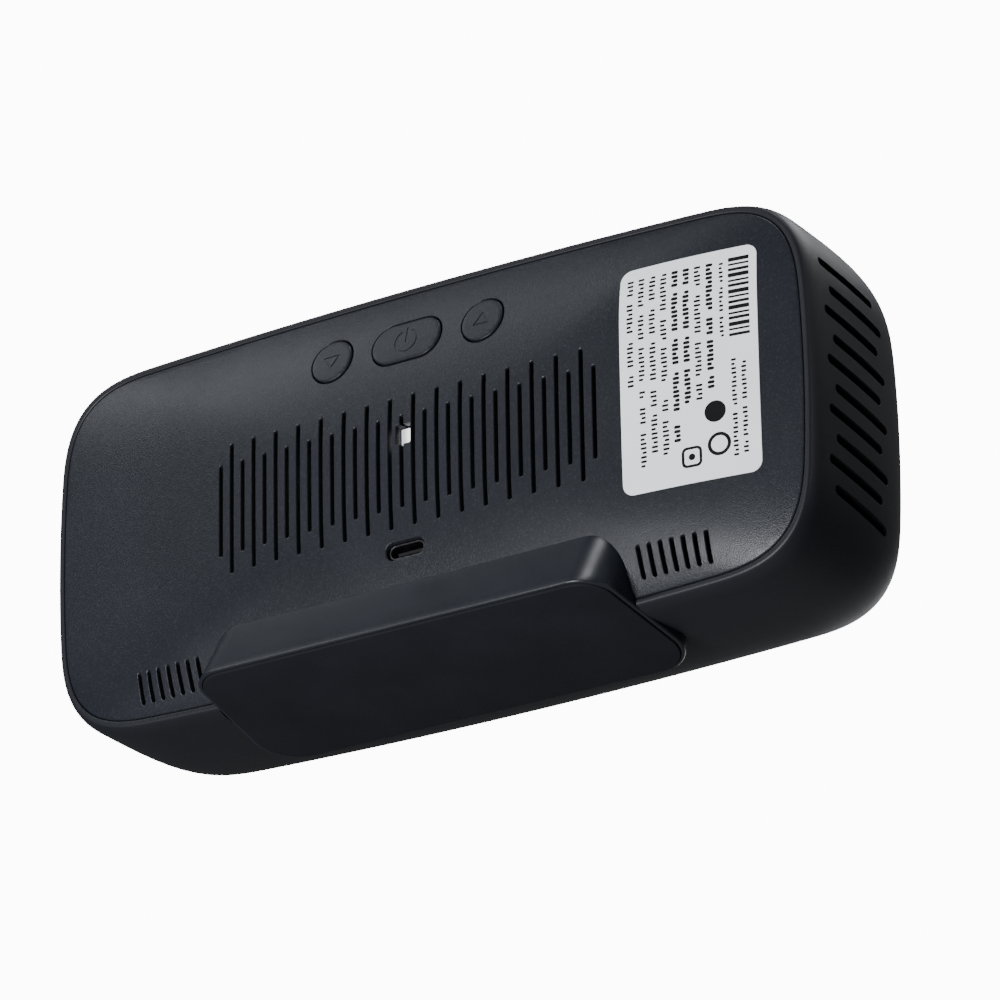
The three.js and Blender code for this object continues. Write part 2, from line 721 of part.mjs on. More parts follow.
// ---------- display ----------
const lensBack = shellDepth - lens.recess - lens.thickness;
piece("front_lens", lensPlate(0, shellDepth - lens.recess, lensBack), finish.lens);
const gasketFront = lensBack - gap;
piece(
  "lens_gasket",
  cut(
    lensPlate(-0.5, gasketFront, gasketFront - gasket.thickness),
    lensPlate(-0.5 - gasket.width, gasketFront + 1, gasketFront - gasket.thickness - 1),
  ),
  finish.black,
);
const stack = (width, height, depth0, thickness, x = 0, z = 0) =>
  block(
    x - width / 2,
    x + width / 2,
    -depth0,
    -depth0 + thickness,
    z - height / 2,
    z + height / 2,
  );
const displayFront = cavityDepth - gap;
const displayHalfX = rimHalfWidth - lens.inset - lens.ledge - display.endRoom;
const displayHalfZ = rimHalfHeight - lens.inset - lens.ledge - display.edgeRoom;
piece(
  "display_module",
  stack(2 * displayHalfX, 2 * displayHalfZ, displayFront, display.thickness, 0, lensZ),
  finish.black,
);
const displayBoardFront = displayFront - display.thickness - gap;
piece(
  "display_board",
  stack(
    2 * (displayHalfX + displayBoard.endReach),
    2 * (displayHalfZ + displayBoard.edgeReach),
    displayBoardFront,
    displayBoard.thickness,
    0,
    lensZ,
  ),
  finish.board,
);

// ---------- battery ----------
const cradleFront = displayBoardFront - displayBoard.thickness - gap;
const cradleWidth = battery.width + 2 * (cradle.wall + gap);
const cradleHeight = battery.height + 2 * (cradle.wall + gap);
piece(
  "battery_cradle",
  cut(
    stack(cradleWidth, cradleHeight, cradleFront, cradle.height, battery.x, 0),
    stack(
      cradleWidth - 2 * cradle.wall,
      cradleHeight - 2 * cradle.wall,
      cradleFront - 1,
      cradle.height,
      battery.x,
      0,
    ),
  ),
  finish.black,
);
piece(
  "battery_cell",
  stack(battery.width, battery.height, cradleFront - 1 - gap, battery.thickness, battery.x, 0),
  finish.cell,
);

// ---------- main board ----------
piece(
  "main_board",
  cut(
    stack(2 * boardHalfX, 2 * boardHalfZ, -boardFront, mainBoard.thickness),
    ...corners.map(([sx, sz]) =>
      boardHole({ x: sx * postX, z: sz * postZ, top: boardBack, bottom: boardFront }),
    ),
  ),
  finish.board,
);
const onBoard = boardBack + gap;
const chipHalf = processor.side / 2;
piece(
  "mcu_chip",
  block(
    processor.x - chipHalf,
    processor.x + chipHalf,
    onBoard,
    onBoard + processor.thickness,
    processor.z - chipHalf,
    processor.z + chipHalf,
  ),
  finish.black,
);
piece(
  "buzzer",
  cut(
    rod(buzzer.x, buzzer.z, buzzer.radius, onBoard, onBoard + buzzer.height),
    rod(buzzer.x, buzzer.z, buzzer.port, onBoard + buzzer.height - buzzer.portDepth, 0, 10),
  ),
  finish.black,
);

// ---------- particle sensor ----------
const caseBack = onBoard + particle.thickness;
const [px, pz] = [-boardHalfX, particle.z - particle.height / 2];
const rotorX = px + particle.width / 2 - rotor.offset;
const rotorLift = 0.7; // over the floor of its pocket
const fanFloor = caseBack - rotor.height - 2.5;
piece(
  "particle_sensor_case",
  cut(
    block(px, px + particle.width, onBoard, caseBack, pz, pz + particle.height),
    rod(rotorX, particle.z, rotor.radius + rotor.clearance, fanFloor, caseBack + 1, 24),
    block(
      px + duct.fromLeft,
      px + particle.width + 1,
      onBoard + duct.front,
      caseBack - duct.rear,
      pz + duct.rise,
      pz + duct.rise + duct.width,
    ),
  ),
  finish.blue,
);
const wheelFoot = fanFloor + rotorLift;
let wheel = rod(rotorX, particle.z, rotor.hub, wheelFoot, wheelFoot + rotor.height, 16);
for (let i = 0; i < rotor.blades; i++) {
  const blade = new THREE.BoxGeometry(rotor.radius - rotor.hub + 1, rotor.height - 0.6, 0.8);
  blade.translate((rotor.radius + rotor.hub - 1) / 2, 0, 0.9);
  blade.rotateY((i / rotor.blades) * 2 * Math.PI);
  blade.translate(rotorX, wheelFoot + rotor.height / 2, particle.z);
  wheel = join(wheel, solidOf(blade));
}
piece("fan_rotor", wheel, finish.black);

// ---------- sensors on the sensor board ----------
const onSensor = sensorTop + gap;
const upright = (item) =>
  block(
    item.x - item.width / 2,
    item.x + item.width / 2,
    onSensor,
    onSensor + item.thickness,
    item.z - item.height / 2,
    item.z + item.height / 2,
  );
piece("carbon_dioxide_sensor", upright(carbonDioxide), finish.blue);
const filterX = grilleWindow.x + filter.offsetX;
const filterZ = grilleWindow.z + filter.offsetZ;
const filterFoot = onSensor + carbonDioxide.thickness + gap;
piece(
  "sensor_filter",
  block(
    filterX - filter.width / 2,
    filterX + filter.width / 2,
    filterFoot,
    filterFoot + filter.thickness,
    filterZ - filter.height / 2,
    filterZ + filter.height / 2,
  ),
  finish.white,
);
piece(
  "formaldehyde_sensor",
  rod(
    formaldehyde.x,
    formaldehyde.z,
    formaldehyde.radius,
    onSensor,
    onSensor + formaldehyde.height,
  ),
  finish.gold,
);
piece("tvoc_sensor", upright(volatileSensor), finish.steel);
piece("humidity_sensor", upright(humidity), finish.white);

export default monitor;
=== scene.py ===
import bisect
import math

import bmesh
import bpy
from mathutils import Matrix, Vector


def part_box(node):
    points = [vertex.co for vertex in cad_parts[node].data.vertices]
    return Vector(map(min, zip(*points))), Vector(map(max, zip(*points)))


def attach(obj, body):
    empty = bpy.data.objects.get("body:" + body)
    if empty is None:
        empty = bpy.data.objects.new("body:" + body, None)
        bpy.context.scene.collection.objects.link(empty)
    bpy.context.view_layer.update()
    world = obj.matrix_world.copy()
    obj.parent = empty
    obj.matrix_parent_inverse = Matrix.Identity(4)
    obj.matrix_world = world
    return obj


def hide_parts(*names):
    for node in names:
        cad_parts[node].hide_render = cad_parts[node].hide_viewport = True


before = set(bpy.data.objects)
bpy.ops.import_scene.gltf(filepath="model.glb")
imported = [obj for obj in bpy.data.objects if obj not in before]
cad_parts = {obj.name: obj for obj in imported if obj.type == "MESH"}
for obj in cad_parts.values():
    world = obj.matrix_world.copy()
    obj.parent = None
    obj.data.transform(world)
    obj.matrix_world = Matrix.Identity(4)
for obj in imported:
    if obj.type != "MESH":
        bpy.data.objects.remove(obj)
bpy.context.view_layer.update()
scene = bpy.context.scene
print("frame loaded with", len(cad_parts), "nodes")

# Sizes are millimetres in the case's own axes: x right as seen from the display,
# y towards the rear cover, z up the display. Depths run forwards from the parting plane.
case = {
    "halfWidth": 94.05,
    "halfHeight": 41.07,
    "bowWidth": 2.4,
    "bowHeight": 2.2,
    "corner": 25.7,
    "cornerPower": 3.4,
    "depth": 46,
    "flare": 1.1,
    "flareDepth": 7.3,
    "flarePower": 3.5,
    "frontRound": 11.3,
    "frontPower": 3.16,
    "frontDrop": 1.6,
    "lean": 12,
}
crown = {"height": 7.5, "power": 2.8}
sole = {
    "rearY": 12.9,
    "rearZ": -40.7,
    "depth": 37.1,
    "rearHalf": 51.5,
    "frontHalf": 53.2,
    "rearRadius": 7.1,
    "frontRadius": 8.8,
}
lean = math.radians(case["lean"])
metre = 0.001
weldDistance = 2e-4
sliver = 1e-4
sharpAngle = 32


def footPoint(x, forward, up):
    y = sole["rearY"] - forward * math.cos(lean) - up * math.sin(lean)
    z = sole["rearZ"] - forward * math.sin(lean) + up * math.cos(lean)
    return Vector((x, y, z))


# The origin of the frame is the middle of the sole, and the case leans back on it.
caseToFrame = (
    Matrix.Scale(metre, 4)
    @ Matrix.Rotation(-lean, 4, "X")
    @ Matrix.Translation(-footPoint(0, sole["depth"] / 2, 0))
)


# outlines, each a list of (x, z) points
def arc(cx, cz, radius, start, turn, steps):
    angles = [math.radians(start + turn * i / steps) for i in range(steps + 1)]
    return [(cx + radius * math.cos(t), cz + radius * math.sin(t)) for t in angles]


def circleShape(cx, cz, radius, steps=48):
    return arc(cx, cz, radius, 0, 360, steps)[:-1]


def stadium(cx, cz, length, width, turn=0, steps=8):
    half, radius = (length - width) / 2, width / 2
    dx, dz = half * math.cos(math.radians(turn)), half * math.sin(math.radians(turn))
    far = arc(cx + dx, cz + dz, radius, turn - 90, 180, steps)
    return far + arc(cx - dx, cz - dz, radius, turn + 90, 180, steps)


def roundRectangle(cx, cz, width, height, radius, steps=6):
    dx, dz = width / 2 - radius, height / 2 - radius
    turns = [(dx, -dz, -90), (dx, dz, 0), (-dx, dz, 90), (-dx, -dz, 180)]
    corners = [arc(cx + x, cz + z, radius, start, 90, steps) for x, z, start in turns]
    return sum(corners, [])


def outline(reach, shortSteps=8, cornerSteps=26, longSteps=18):
    a, b = case["halfWidth"] + reach, case["halfHeight"] + reach
    r = max(case["corner"] + reach, 2)
    power = 2 / case["cornerPower"]
    quarter = [(a, (b - r) * i / shortSteps) for i in range(shortSteps)]
    for i in range(cornerSteps + 1):
        t = math.pi / 2 * i / cornerSteps
        c = 0 if i == cornerSteps else math.cos(t) ** power
        quarter.append((a - r + r * c, b - r + r * math.sin(t) ** power))
    quarter += [((a - r) * (1 - i / longSteps), b) for i in range(1, longSteps)]
    half = quarter + [(0, b)] + [(-x, z) for x, z in reversed(quarter[1:])]
    whole = half + [(-a, 0)] + [(x, -z) for x, z in reversed(half[1:])]
    bowX, bowZ = case["bowWidth"] / a, case["bowHeight"] / b
    return [
        (x * (1 + bowX * (1 - (z / b) ** 2)), z * (1 + bowZ * (1 - (x / a) ** 2)))
        for x, z in whole
    ]


def soleShape(reach, rearShift=0, steps=10):
    corners = [
        (sole["rearHalf"] + reach, rearShift - reach, sole["rearRadius"] + reach, 1),
        (sole["frontHalf"] + reach, sole["depth"] + reach, sole["frontRadius"] + reach, -1),
    ]
    half = []
    for k, (x, forward, r, way) in enumerate(corners):
        for i in range(steps + 1):
            t = (i / steps + k) * math.pi / 2
            half.append((x - r + r * math.sin(t), forward + way * r - r * math.cos(t)))
    return half + [(-x, forward) for x, forward in reversed(half)]


# how the case swells towards its front and how its cover is crowned
def swell(depth):
    if depth <= case["flareDepth"]:
        return case["flare"] * (1 - (1 - depth / case["flareDepth"]) ** case["flarePower"])
    t = min((depth - case["flareDepth"]) / (case["depth"] - case["flareDepth"]), 1)
    power = case["frontPower"]
    return case["flare"] - case["frontRound"] * (1 - (1 - t**power) ** (1 / power))


coverReach = -1.4  # the cover's edge lies this far inside the rim's outer edge
coverEdge = outline(coverReach, 24, 60, 40)
edgeAngles = [math.atan2(z, x) % math.tau for x, z in coverEdge]


def crownAt(x, z):
    # share of the way from the middle of the cover to its edge, along the ray through the point
    k = bisect.bisect_right(edgeAngles, math.atan2(z, x) % math.tau)
    ax, az = coverEdge[k - 1]
    bx, bz = coverEdge[k % len(coverEdge)]
    share = (x * (bz - az) - z * (bx - ax)) / (ax * bz - az * bx)
    return crown["height"] * (1 - min(share, 1) ** crown["power"])


# bodies made of rings, and the tools that cut and bend them
def ring(shape, y, drop=0):
    return [(x, y, z - drop) for x, z in shape]


def shellRing(depth, reach):
    drop = case["frontDrop"] * max(depth, 0) / case["depth"]
    return ring(outline(reach), -depth, drop)


def soleRing(reach, up, rearShift=0):
    return [footPoint(x, forward, up) for x, forward in soleShape(reach, rearShift)]


def loopEdges(bm, loop):
    return [bm.edges.get((v, loop[i - 1])) for i, v in enumerate(loop)]


def ringBody(rings, closed=False):
    bm = bmesh.new()
    first = bmesh.ops.create_circle(bm, segments=len(rings[0]), radius=1)["verts"]
    loop = first
    for vert, point in zip(loop, rings[0]):
        vert.co = point
    for points in rings[1:]:
        made = bmesh.ops.extrude_edge_only(bm, edges=loopEdges(bm, loop))["geom"]
        fresh = {g for g in made if isinstance(g, bmesh.types.BMVert)}
        loop = [next(o for e in v.link_edges if (o := e.other_vert(v)) in fresh) for v in loop]
        for vert, point in zip(loop, points):
            vert.co = point
    if closed:
        bmesh.ops.bridge_loops(bm, edges=loopEdges(bm, first) + loopEdges(bm, loop))
    else:
        bmesh.ops.contextual_create(bm, geom=loopEdges(bm, first))
        bmesh.ops.contextual_create(bm, geom=loopEdges(bm, loop))
    bmesh.ops.recalc_face_normals(bm, faces=bm.faces)
    return bm


def asObject(bm, name="scratch"):
    mesh = bpy.data.meshes.new(name)
    bm.to_mesh(mesh)
    bm.free()
    made = bpy.data.objects.new(name, mesh)
    scene.collection.objects.link(made)
    return made


def roundSteps(radius, angles):
    # steps (inwards, down) along a rounded edge
    turns = [math.radians(angle) for angle in angles]
    return [(radius * (1 - math.cos(t)), radius * (1 - math.sin(t))) for t in turns]


def gathered(bodies):
    # several closed bodies in one object, as one tool for a cut
    whole = bmesh.new()
    for body in bodies:
        mesh = bpy.data.meshes.new("part")
        body.to_mesh(mesh)
        body.free()
        whole.from_mesh(mesh)
        bpy.data.meshes.remove(mesh)
    return asObject(whole)


def carve(body, tool, way="DIFFERENCE"):
    change = body.modifiers.new("carve", "BOOLEAN")
    change.operation, change.solver, change.object = way, "EXACT", tool
    evaluated = body.evaluated_get(bpy.context.evaluated_depsgraph_get())
    mesh = bpy.data.meshes.new_from_object(evaluated)
    body.modifiers.clear()
    old, body.data = body.data, mesh
    bpy.data.meshes.remove(old)
    bpy.data.objects.remove(tool)


def lippedTool(shape, lip, bottom, top=1):
    # a straight punch whose upper end flares out, so that the hole it cuts has a rounded lip
    rings = [ring(shape(0), bottom), ring(shape(0), -lip)]
    for out, down in roundSteps(lip, (30, 58, 80)):
        rings.append(ring(shape(out), -down))
    return ringBody([*rings, ring(shape(lip), top)])


def gridCuts(bm, axis, positions):
    # lines across a flat body, so that it can be bent
    normal = Vector((axis == 0, 0, axis == 2))
    for position in positions:
        everything = bm.verts[:] + bm.edges[:] + bm.faces[:]
        bmesh.ops.bisect_plane(
            bm, geom=everything, dist=sliver, plane_co=normal * position, plane_no=normal
        )


def evenly(low, high, pitch):
    count = math.floor((high - low) / pitch)
    return [low + pitch * i for i in range(count + 1)]


def laidOnCrown(made, across, up, floor=-math.inf):
    # divides what was modelled flat and lays it over the crown
    bm = bmesh.new()
    bm.from_mesh(made.data)
    gridCuts(bm, 0, across)
    gridCuts(bm, 2, up)
    for vert in bm.verts:
        if vert.co.y > floor:
            vert.co.y += crownAt(vert.co.x, vert.co.z)
    bm.to_mesh(made.data)
    bm.free()


def finished(made, name, material, body="case", replaced=()):
    mesh = made.data
    bm = bmesh.new()
    bm.from_mesh(mesh)
    bmesh.ops.remove_doubles(bm, verts=bm.verts, dist=weldDistance)
    bmesh.ops.dissolve_degenerate(bm, edges=bm.edges, dist=sliver)
    bmesh.ops.triangulate(bm, faces=[f for f in bm.faces if len(f.verts) > 4])
    bmesh.ops.transform(bm, matrix=caseToFrame, verts=bm.verts)
    bm.to_mesh(mesh)
    bm.free()
    mesh.shade_smooth()
    mesh.set_sharp_from_angle(angle=math.radians(sharpAngle))
    made.name = mesh.name = name
    mesh.materials.clear()
    mesh.materials.append(material)
    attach(made, body)
    if replaced:
        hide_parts(*replaced)
    return made


# materials
def newMaterial(name):
    material = bpy.data.materials.new(name)
    material.use_nodes = True
    tree = material.node_tree
    return material, tree, tree.nodes["Principled BSDF"]


def addNode(tree, kind, **settings):
    node = tree.nodes.new(kind)
    for key, value in settings.items():
        if key in node.inputs:
            node.inputs[key].default_value = value
        else:
            setattr(node, key, value)
    return node


def objectPoint(tree, stretch=(1, 1, 1)):
    place = addNode(tree, "ShaderNodeTexCoord")
    turned = addNode(tree, "ShaderNodeMapping")
    turned.inputs["Scale"].default_value = stretch
    tree.links.new(place.outputs["Object"], turned.inputs["Vector"])
    return turned.outputs["Vector"]


def noise(tree, point, scale, detail=2.0, roughness=0.5):
    node = addNode(tree, "ShaderNodeTexNoise", Scale=scale, Detail=detail, Roughness=roughness)
    tree.links.new(point, node.inputs["Vector"])
    return node.outputs["Fac"]


def spread(tree, value, low, high, outLow, outHigh):
    node = addNode(tree, "ShaderNodeMapRange")
    ends = {"From Min": low, "From Max": high, "To Min": outLow, "To Max": outHigh}
    for key, number in ends.items():
        node.inputs[key].default_value = number
    tree.links.new(value, node.inputs["Value"])
    return node.outputs["Result"]


def blendColours(tree, share, first, second):
    node = addNode(tree, "ShaderNodeMix", data_type="RGBA")
    tree.links.new(share, node.inputs["Factor"])
    for socket, colour in ((node.inputs[6], first), (node.inputs[7], second)):
        if isinstance(colour, tuple):
            socket.default_value = (*colour, 1)
        else:
            tree.links.new(colour, socket)
    return node.outputs[2]


def bump(tree, height, distance, strength, under=None):
    node = addNode(tree, "ShaderNodeBump", Distance=distance, Strength=strength)
    tree.links.new(height, node.inputs["Height"])
    if under:
        tree.links.new(under, node.inputs["Normal"])
    return node.outputs["Normal"]


surface = {"waveShare": 0.6, "waveDepth": 0.0002, "waveStrength": 0.03, "specular": 0.5}


def mouldedPlastic(name, look):
    # mould grain, slow drift of colour, painted glint specks, and handling marks in the sheen
    material, tree, shader = newMaterial(name)
    point = objectPoint(tree)
    drift = spread(tree, noise(tree, point, look["driftScale"]), 0.35, 0.65, 0, 1)
    colour = blendColours(tree, drift, look["dark"], look["light"])
    grain = noise(tree, point, look["grainScale"], 2, 0.6)
    # painted glints: bright specks mixed into the base colour stand in for glints of light off the
    # grain
    if look.get("paintedGlint"):
        paintedGlintCells = addNode(tree, "ShaderNodeTexVoronoi", Scale=look["paintedGlintScale"])
        tree.links.new(point, paintedGlintCells.inputs["Vector"])
        apart = addNode(tree, "ShaderNodeSeparateColor")
        tree.links.new(paintedGlintCells.outputs["Color"], apart.inputs["Color"])
        paintedGlintShare = spread(tree, apart.outputs["Red"], look["paintedGlintFrom"], 1, 0, look["paintedGlint"])
        colour = blendColours(tree, paintedGlintShare, colour, look["paintedGlintColour"])
    tree.links.new(colour, shader.inputs["Base Color"])
    marks = noise(tree, point, look["markScale"], 5, 0.6)
    rough = spread(tree, marks, 0.3, 0.7, look["smooth"], look["rough"])
    tree.links.new(rough, shader.inputs["Roughness"])
    wave = noise(tree, point, look["markScale"] * surface["waveShare"])
    slow = bump(tree, wave, surface["waveDepth"], surface["waveStrength"])
    fine = bump(tree, grain, look["grainDepth"], look["grainStrength"], slow)
    tree.links.new(fine, shader.inputs["Normal"])
    specular = look.get("specular", surface["specular"])
    shader.inputs["Specular IOR Level"].default_value = specular
    return material


coverLook = {
    "dark": (0.0110, 0.0125, 0.0165),
    "light": (0.0135, 0.0152, 0.0200),
    "driftScale": 22,
    "grainScale": 3600,
    "grainDepth": 0.00012,
    "grainStrength": 0.5,
    "markScale": 60,
    "smooth": 0.30,
    "rough": 0.36,
    # painted glints: how strong, what colour, how fine and how sparse the bright specks in the
    # colour are
    "paintedGlint": 0.12,
    "paintedGlintColour": (0.10, 0.11, 0.13),
    "paintedGlintScale": 4200,
    "paintedGlintFrom": 0.8,
    "specular": 0.24,
}
shellLook = {
    "dark": (0.0064, 0.0073, 0.0106),
    "light": (0.0082, 0.0093, 0.0132),
    "driftScale": 18,
    "grainScale": 3400,
    "grainDepth": 0.00008,
    "grainStrength": 0.3,
    "markScale": 45,
    "smooth": 0.42,
    "rough": 0.5,
    "specular": 0.3,
}
# the buttons keep the cover's painted glint specks, a little weaker
buttonLook = {**coverLook, "paintedGlint": 0.1, "grainStrength": 0.4, "specular": 0.17}
footLook = {
    "dark": (0.0100, 0.0114, 0.0160),
    "light": (0.0125, 0.0142, 0.0195),
    "driftScale": 30,
    "grainScale": 4200,
    "grainDepth": 0.00005,
    "grainStrength": 0.18,
    "markScale": 70,
    "smooth": 0.30,
    "rough": 0.38,
    "specular": 0.25,
}
padLook = {
    "dark": (0.0078, 0.0086, 0.0118),
    "light": (0.0100, 0.0110, 0.0148),
    "driftScale": 60,
    "grainScale": 2100,
    "grainDepth": 0.0001,
    "grainStrength": 0.5,
    "markScale": 150,
    "smooth": 0.68,
    "rough": 0.82,
    "specular": 0.14,
}
labelLook = {
    "dark": (0.84, 0.85, 0.88),
    "light": (0.90, 0.91, 0.93),
    "driftScale": 40,
    "grainScale": 1500,
    "grainDepth": 0.00002,
    "grainStrength": 0.2,
    "markScale": 90,
    "smooth": 0.42,
    "rough": 0.55,
}
inkLook = {
    "dark": (0.003, 0.003, 0.004),
    "light": (0.005, 0.005, 0.006),
    "driftScale": 300,
    "grainScale": 3000,
    "grainDepth": 0.00001,
    "grainStrength": 0.2,
    "markScale": 200,
    "smooth": 0.5,
    "rough": 0.6,
    "specular": 0.12,
}
blackLook = {**footLook, "dark": (0.012, 0.012, 0.013), "light": (0.018, 0.018, 0.020)}
whiteLook = {
    **labelLook,
    "dark": (0.83, 0.83, 0.81),
    "light": (0.90, 0.90, 0.88),
    "smooth": 0.35,
    "rough": 0.45,
}
sensorLook = {**footLook, "dark": (0.030, 0.036, 0.050), "light": (0.036, 0.043, 0.060)}


lensLook = {
    "dark": (0.0030, 0.0032, 0.0040),
    "light": (0.0045, 0.0048, 0.0060),
    "tintScale": 9,
    "streakStretch": (1, 1, 4),
    "streakScale": 40,
    "smooth": 0.03,
    "rough": 0.11,
    "rippleScale": 35,
    "rippleDepth": 0.0001,
    "rippleStrength": 0.02,
}


def glossyLens(look):
    # polished window with faint wiping marks
    material, tree, shader = newMaterial("lensGloss")
    point = objectPoint(tree)
    streaks = noise(tree, objectPoint(tree, look["streakStretch"]), look["streakScale"], 6, 0.65)
    rough = spread(tree, streaks, 0.35, 0.75, look["smooth"], look["rough"])
    tree.links.new(rough, shader.inputs["Roughness"])
    tint = spread(tree, noise(tree, point, look["tintScale"]), 0.3, 0.7, 0, 1)
    colour = blendColours(tree, tint, look["dark"], look["light"])
    tree.links.new(colour, shader.inputs["Base Color"])
    waves = noise(tree, point, look["rippleScale"])
    ripple = bump(tree, waves, look["rippleDepth"], look["rippleStrength"])
    tree.links.new(ripple, shader.inputs["Normal"])
    return material


def brushedMetal(name, look):
    material, tree, shader = newMaterial(name)
    lines = noise(tree, objectPoint(tree, look["stretch"]), look["scale"], 4, 0.6)
    colour = blendColours(tree, lines, look["dark"], look["light"])
    tree.links.new(colour, shader.inputs["Base Color"])
    rough = spread(tree, lines, 0.3, 0.7, look["smooth"], look["rough"])
    tree.links.new(rough, shader.inputs["Roughness"])
    tree.links.new(bump(tree, lines, 0.00002, 0.3), shader.inputs["Normal"])
    shader.inputs["Metallic"].default_value = look["metallic"]
    return material


steelLook = {
    "dark": (0.42, 0.43, 0.45),
    "light": (0.66, 0.67, 0.69),
    "stretch": (1, 1, 14),
    "scale": 700,
    "smooth": 0.24,
    "rough": 0.42,
    "metallic": 1,
}
socketLook = {**steelLook, "dark": (0.10, 0.10, 0.11), "light": (0.20, 0.20, 0.22)}
brassLook = {**steelLook, "dark": (0.50, 0.36, 0.13), "light": (0.72, 0.55, 0.24)}
foilLook = {
    **steelLook,
    "dark": (0.40, 0.42, 0.45),
    "light": (0.55, 0.57, 0.60),
    "stretch": (1, 1, 1),
    "scale": 160,
    "smooth": 0.35,
    "rough": 0.5,
}


boardLook = {
    "mask": (0.010, 0.075, 0.032),
    "track": (0.022, 0.13, 0.055),
    "pad": (0.5, 0.5, 0.46),
    "trackScale": 420,
    "trackOffset": 0.37,
    "trackGap": 0.09,
    "trackDepth": 0.00004,
    "padScale": 300,
    "padFrom": 0.12,
    "padTo": 0.16,
    "markScale": 90,
    "smooth": 0.3,
    "rough": 0.42,
}


def circuitBoard(look):
    # green mask over tracks that run square to each other, with tinned pads
    material, tree, shader = newMaterial("circuitMask")
    point = objectPoint(tree)
    scale, offset = look["trackScale"], look["trackOffset"]
    tracks = addNode(tree, "ShaderNodeTexBrick", Scale=scale, offset=offset)
    tracks.inputs["Mortar Size"].default_value = look["trackGap"]
    tree.links.new(point, tracks.inputs["Vector"])
    scale = look["padScale"]
    cells = addNode(tree, "ShaderNodeTexVoronoi", Scale=scale, distance="CHEBYCHEV")
    tree.links.new(point, cells.inputs["Vector"])
    pads = spread(tree, cells.outputs["Distance"], look["padFrom"], look["padTo"], 1, 0)
    mask = blendColours(tree, tracks.outputs["Fac"], look["mask"], look["track"])
    tree.links.new(blendColours(tree, pads, mask, look["pad"]), shader.inputs["Base Color"])
    raised = bump(tree, tracks.outputs["Fac"], look["trackDepth"], 0.5)
    tree.links.new(raised, shader.inputs["Normal"])
    marks = noise(tree, point, look["markScale"])
    rough = spread(tree, marks, 0.3, 0.7, look["smooth"], look["rough"])
    tree.links.new(rough, shader.inputs["Roughness"])
    return material


coverPlastic = mouldedPlastic("coverPlastic", coverLook)
shellPlastic = mouldedPlastic("shellPlastic", shellLook)
buttonPlastic = mouldedPlastic("buttonPlastic", buttonLook)
footPlastic = mouldedPlastic("footPlastic", footLook)
padRubber = mouldedPlastic("padRubber", padLook)
labelFilm = mouldedPlastic("labelFilm", labelLook)
labelInk = mouldedPlastic("labelInk", inkLook)
blackPlastic = mouldedPlastic("blackPlastic", blackLook)
whitePlastic = mouldedPlastic("whitePlastic", whiteLook)
sensorPlastic = mouldedPlastic("sensorPlastic", sensorLook)
lensGloss = glossyLens(lensLook)
plateSteel = brushedMetal("plateSteel", steelLook)
socketSteel = brushedMetal("socketSteel", socketLook)
canBrass = brushedMetal("canBrass", brassLook)
cellFoil = brushedMetal("cellFoil", foilLook)
circuitMask = circuitBoard(boardLook)
# painted glow: the white filter gives off light of its own, though it is no lamp, so that it shows
# bright through the window
filterPaintedGlow = 1.1
filterWhitePaintedGlow = mouldedPlastic("filterWhitePaintedGlow", whiteLook)
paintedGlow = filterWhitePaintedGlow.node_tree.nodes["Principled BSDF"].inputs
paintedGlow["Emission Color"].default_value = (1, 1, 1, 1)
paintedGlow["Emission Strength"].default_value = filterPaintedGlow
print("materials ready")


# front shell
shell = {
    "wall": 2.4,
    "rim": 1.3,
    "frontWall": 4.4,
    "lipRound": 0.35,
    "seatDepth": 5.0,
    "seatReach": -3.0,
    "lensReach": -12.2,
    "lensFloor": 43.0,
    "openReach": -15.5,
    "slots": 10,
    "slotZ": 27.84,
    "slotPitch": 5.61,
    "slotStart": 6.24,
    "slotStagger": 2.7,
    "slotLength": 22.8,
    "slotHeight": 2.0,
    "slotFall": 0.11,
    "slotLip": 0.12,
    "slotCut": 9,
    "slotOver": 0.6,
    "pocketReach": 1.2,
    "pocketTop": 3.0,
    "pocketFloor": -8,
    "lensEdge": 0.15,
    "cavityDepths": (36, 28, 18),
}
post = {"screws": 4, "radius": 3.2, "front": -42, "rear": -20.1}
wallDepths = (0.8, 1.5, 2.5, 3.5, 5, case["flareDepth"], 12, 18, 24, 28, 31.5)
roundDepths = (34.5, 37, 39, 40.8, 42, 43, 43.8, 44.5, 45, 45.4, 45.7, 45.9, 45.98)


def shellProfile():
    # (depth, reach) once round the wall, from the opening through the cavity, over the rim
    # and down the outside
    wall, rim, lip = shell["wall"], shell["rim"], shell["lipRound"]
    inside = case["depth"] - shell["frontWall"]
    seat, ledge = shell["seatDepth"], shell["seatReach"]
    profile = [(inside, shell["openReach"])]
    cavity = (inside, *shell["cavityDepths"], seat + 3.5)
    profile += [(d, swell(d) - wall) for d in cavity]
    profile += [(seat + 1.5, ledge), (seat, ledge), (seat, -rim), (lip, -rim)]
    for out, down in roundSteps(lip, (30, 60, 90)):
        profile.append((down, -rim + out))
    for depth, inwards in roundSteps(lip, (0, 30, 60)):
        profile.append((depth, swell(depth) - inwards))
    profile += [(d, swell(d)) for d in (lip, *wallDepths, *roundDepths)]
    front, reach, edge = case["depth"], shell["lensReach"], shell["lensEdge"]
    profile += [(front, swell(front)), (front, reach + edge)]
    profile += [(front - edge / 3, reach + edge / 5), (front - edge, reach)]
    floor = shell["lensFloor"]
    profile += [(floor, reach), (floor, shell["openReach"])]
    return profile


